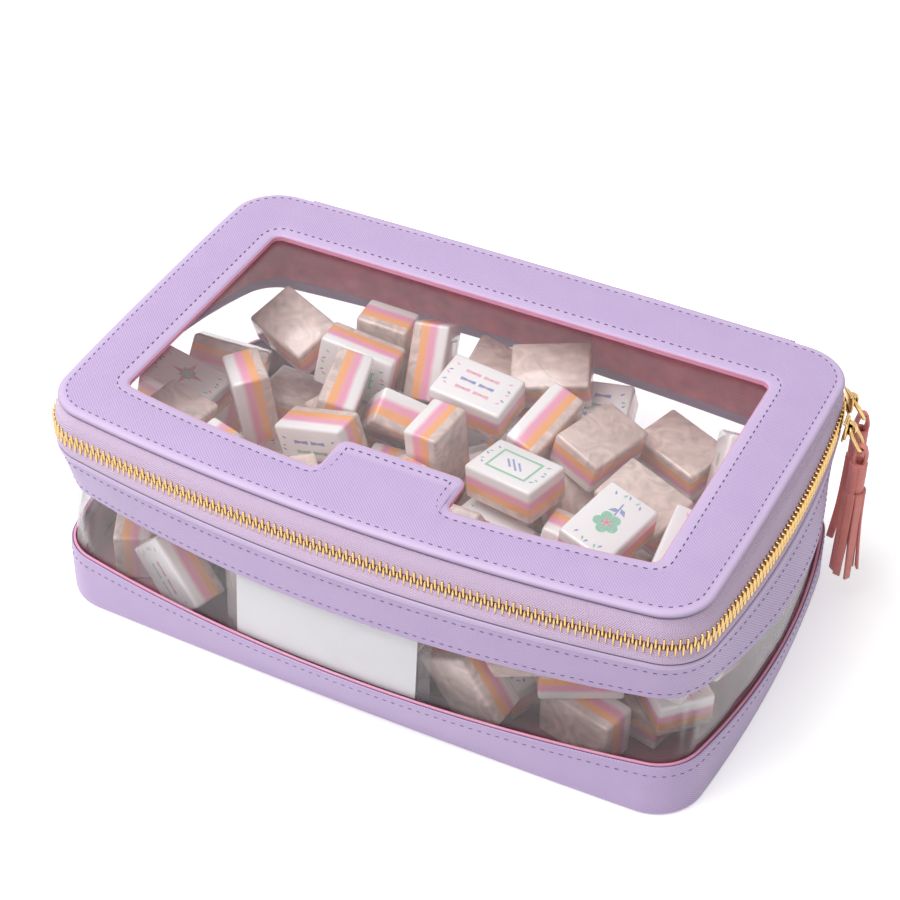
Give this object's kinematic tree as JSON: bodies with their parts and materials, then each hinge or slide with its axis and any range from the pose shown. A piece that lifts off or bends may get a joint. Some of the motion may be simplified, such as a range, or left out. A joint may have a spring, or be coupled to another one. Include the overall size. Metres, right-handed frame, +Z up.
{
  "type": "zipped tile bag",
  "caption": "Soft zipped game tile bag with clear walls and window lid, metal zip round three sides, two tasselled sliders and a heap of layered tiles inside.",
  "frame": {"origin": "centre of the base's underside, on the surface that the bag stands on", "axes": "+X to the right along the long front, +Y to the hinged back, +Z up"},
  "size_m": [0.2896, 0.1767, 0.0988],
  "materials": {
    "lilac_leather": "cross-hatch grain",
    "pink_edge": "painted edge",
    "pink_satin": "satin",
    "clear_vinyl": "clear",
    "grey_board": "plain",
    "zip_tape": "herringbone weave",
    "gold_metal": "polished",
    "coral_leather": "soft grain",
    "white_card": "matt",
    "tile_acrylic": "polished layers"
  },
  "bodies": {
    "case": {"base_panel": "lilac_leather", "base_board": "grey_board", "base_lining": "pink_satin", "lower_band": "lilac_leather", "lower_rim": "pink_edge", "lower_band_lining": "pink_satin", "clear_wall": "clear_vinyl", "card_pocket": "clear_vinyl", "pocket_welt": "clear_vinyl", "upper_band": "lilac_leather", "upper_band_edge_roll": "lilac_leather", "upper_band_lining": "pink_satin", "hinge_strip_lower": "lilac_leather", "hinge_lining_lower": "pink_satin", "lower_zip_tape": "zip_tape", "lower_zip_teeth": "gold_metal", "lower_zip_stops": "gold_metal", "dot_tiles": "tile_acrylic", "bamboo_tiles": "tile_acrylic", "character_tiles": "tile_acrylic", "wind_tiles": "tile_acrylic", "dragon_tiles": "tile_acrylic", "flower_tiles": "tile_acrylic"},
    "lid": {"lid_panel": "lilac_leather", "lid_edge_roll": "lilac_leather", "window_edging": "pink_edge", "lid_window": "clear_vinyl", "lid_lining": "pink_satin", "hinge_strip_upper": "lilac_leather", "hinge_lining_upper": "pink_satin", "upper_zip_tape": "zip_tape", "upper_zip_teeth": "gold_metal", "upper_zip_stops": "gold_metal"},
    "front_slider": {"front_slider_body": "gold_metal", "front_slider_bail": "gold_metal"},
    "front_pull": {"front_pull_link": "gold_metal"},
    "front_tassel": {"front_tassel_loop": "coral_leather", "front_tassel_head": "coral_leather", "front_tassel_fringe": "coral_leather"},
    "rear_slider": {"rear_slider_body": "gold_metal", "rear_slider_bail": "gold_metal"},
    "rear_pull": {"rear_pull_link": "gold_metal"},
    "rear_tassel": {"rear_tassel_loop": "coral_leather", "rear_tassel_head": "coral_leather", "rear_tassel_fringe": "coral_leather"},
    "card": {"label_card": "white_card"}
  },
  "joints": [
    {"name": "lid_hinge", "type": "hinge", "parent": "case", "child": "lid", "pos_m": [0, 0.0842, 0.0849], "axis": [-1, 0, 0], "range_deg": [0, 180]},
    {"name": "front_slider_travel", "type": "hinge", "parent": "case", "child": "front_slider", "pos_m": [-0.31715, 0, 0.0849], "axis": [0, 0, -1], "range_deg": [0, 14.1]},
    {"name": "rear_slider_travel", "type": "hinge", "parent": "case", "child": "rear_slider", "pos_m": [0.11288, 0.06039, 0.0849], "axis": [0, 0, 1], "range_deg": [0, 25]},
    {"name": "front_pull_swing", "type": "hinge", "parent": "front_slider", "child": "front_pull", "pos_m": [0.13776, 0.05763, 0.0849], "axis": [0.1257, -0.9921, 0], "range_deg": [0, 100]},
    {"name": "front_tassel_swing", "type": "hinge", "parent": "front_pull", "child": "front_tassel", "pos_m": [0.14282, 0.05828, 0.07607], "axis": [0.1257, -0.9921, 0], "range_deg": [0, 70]},
    {"name": "rear_pull_swing", "type": "hinge", "parent": "rear_slider", "child": "rear_pull", "pos_m": [0.13279, 0.07433, 0.0849], "axis": [0.5735, -0.8192, 0], "range_deg": [0, 100]},
    {"name": "rear_tassel_swing", "type": "hinge", "parent": "rear_pull", "child": "rear_tassel", "pos_m": [0.13697, 0.07725, 0.07607], "axis": [0.5735, -0.8192, 0], "range_deg": [0, 70]},
    {"name": "card_slide", "type": "slide", "parent": "case", "child": "card", "axis": [0, 0.0722, 0.9974], "range_m": [0, 0.024]}
  ]
}
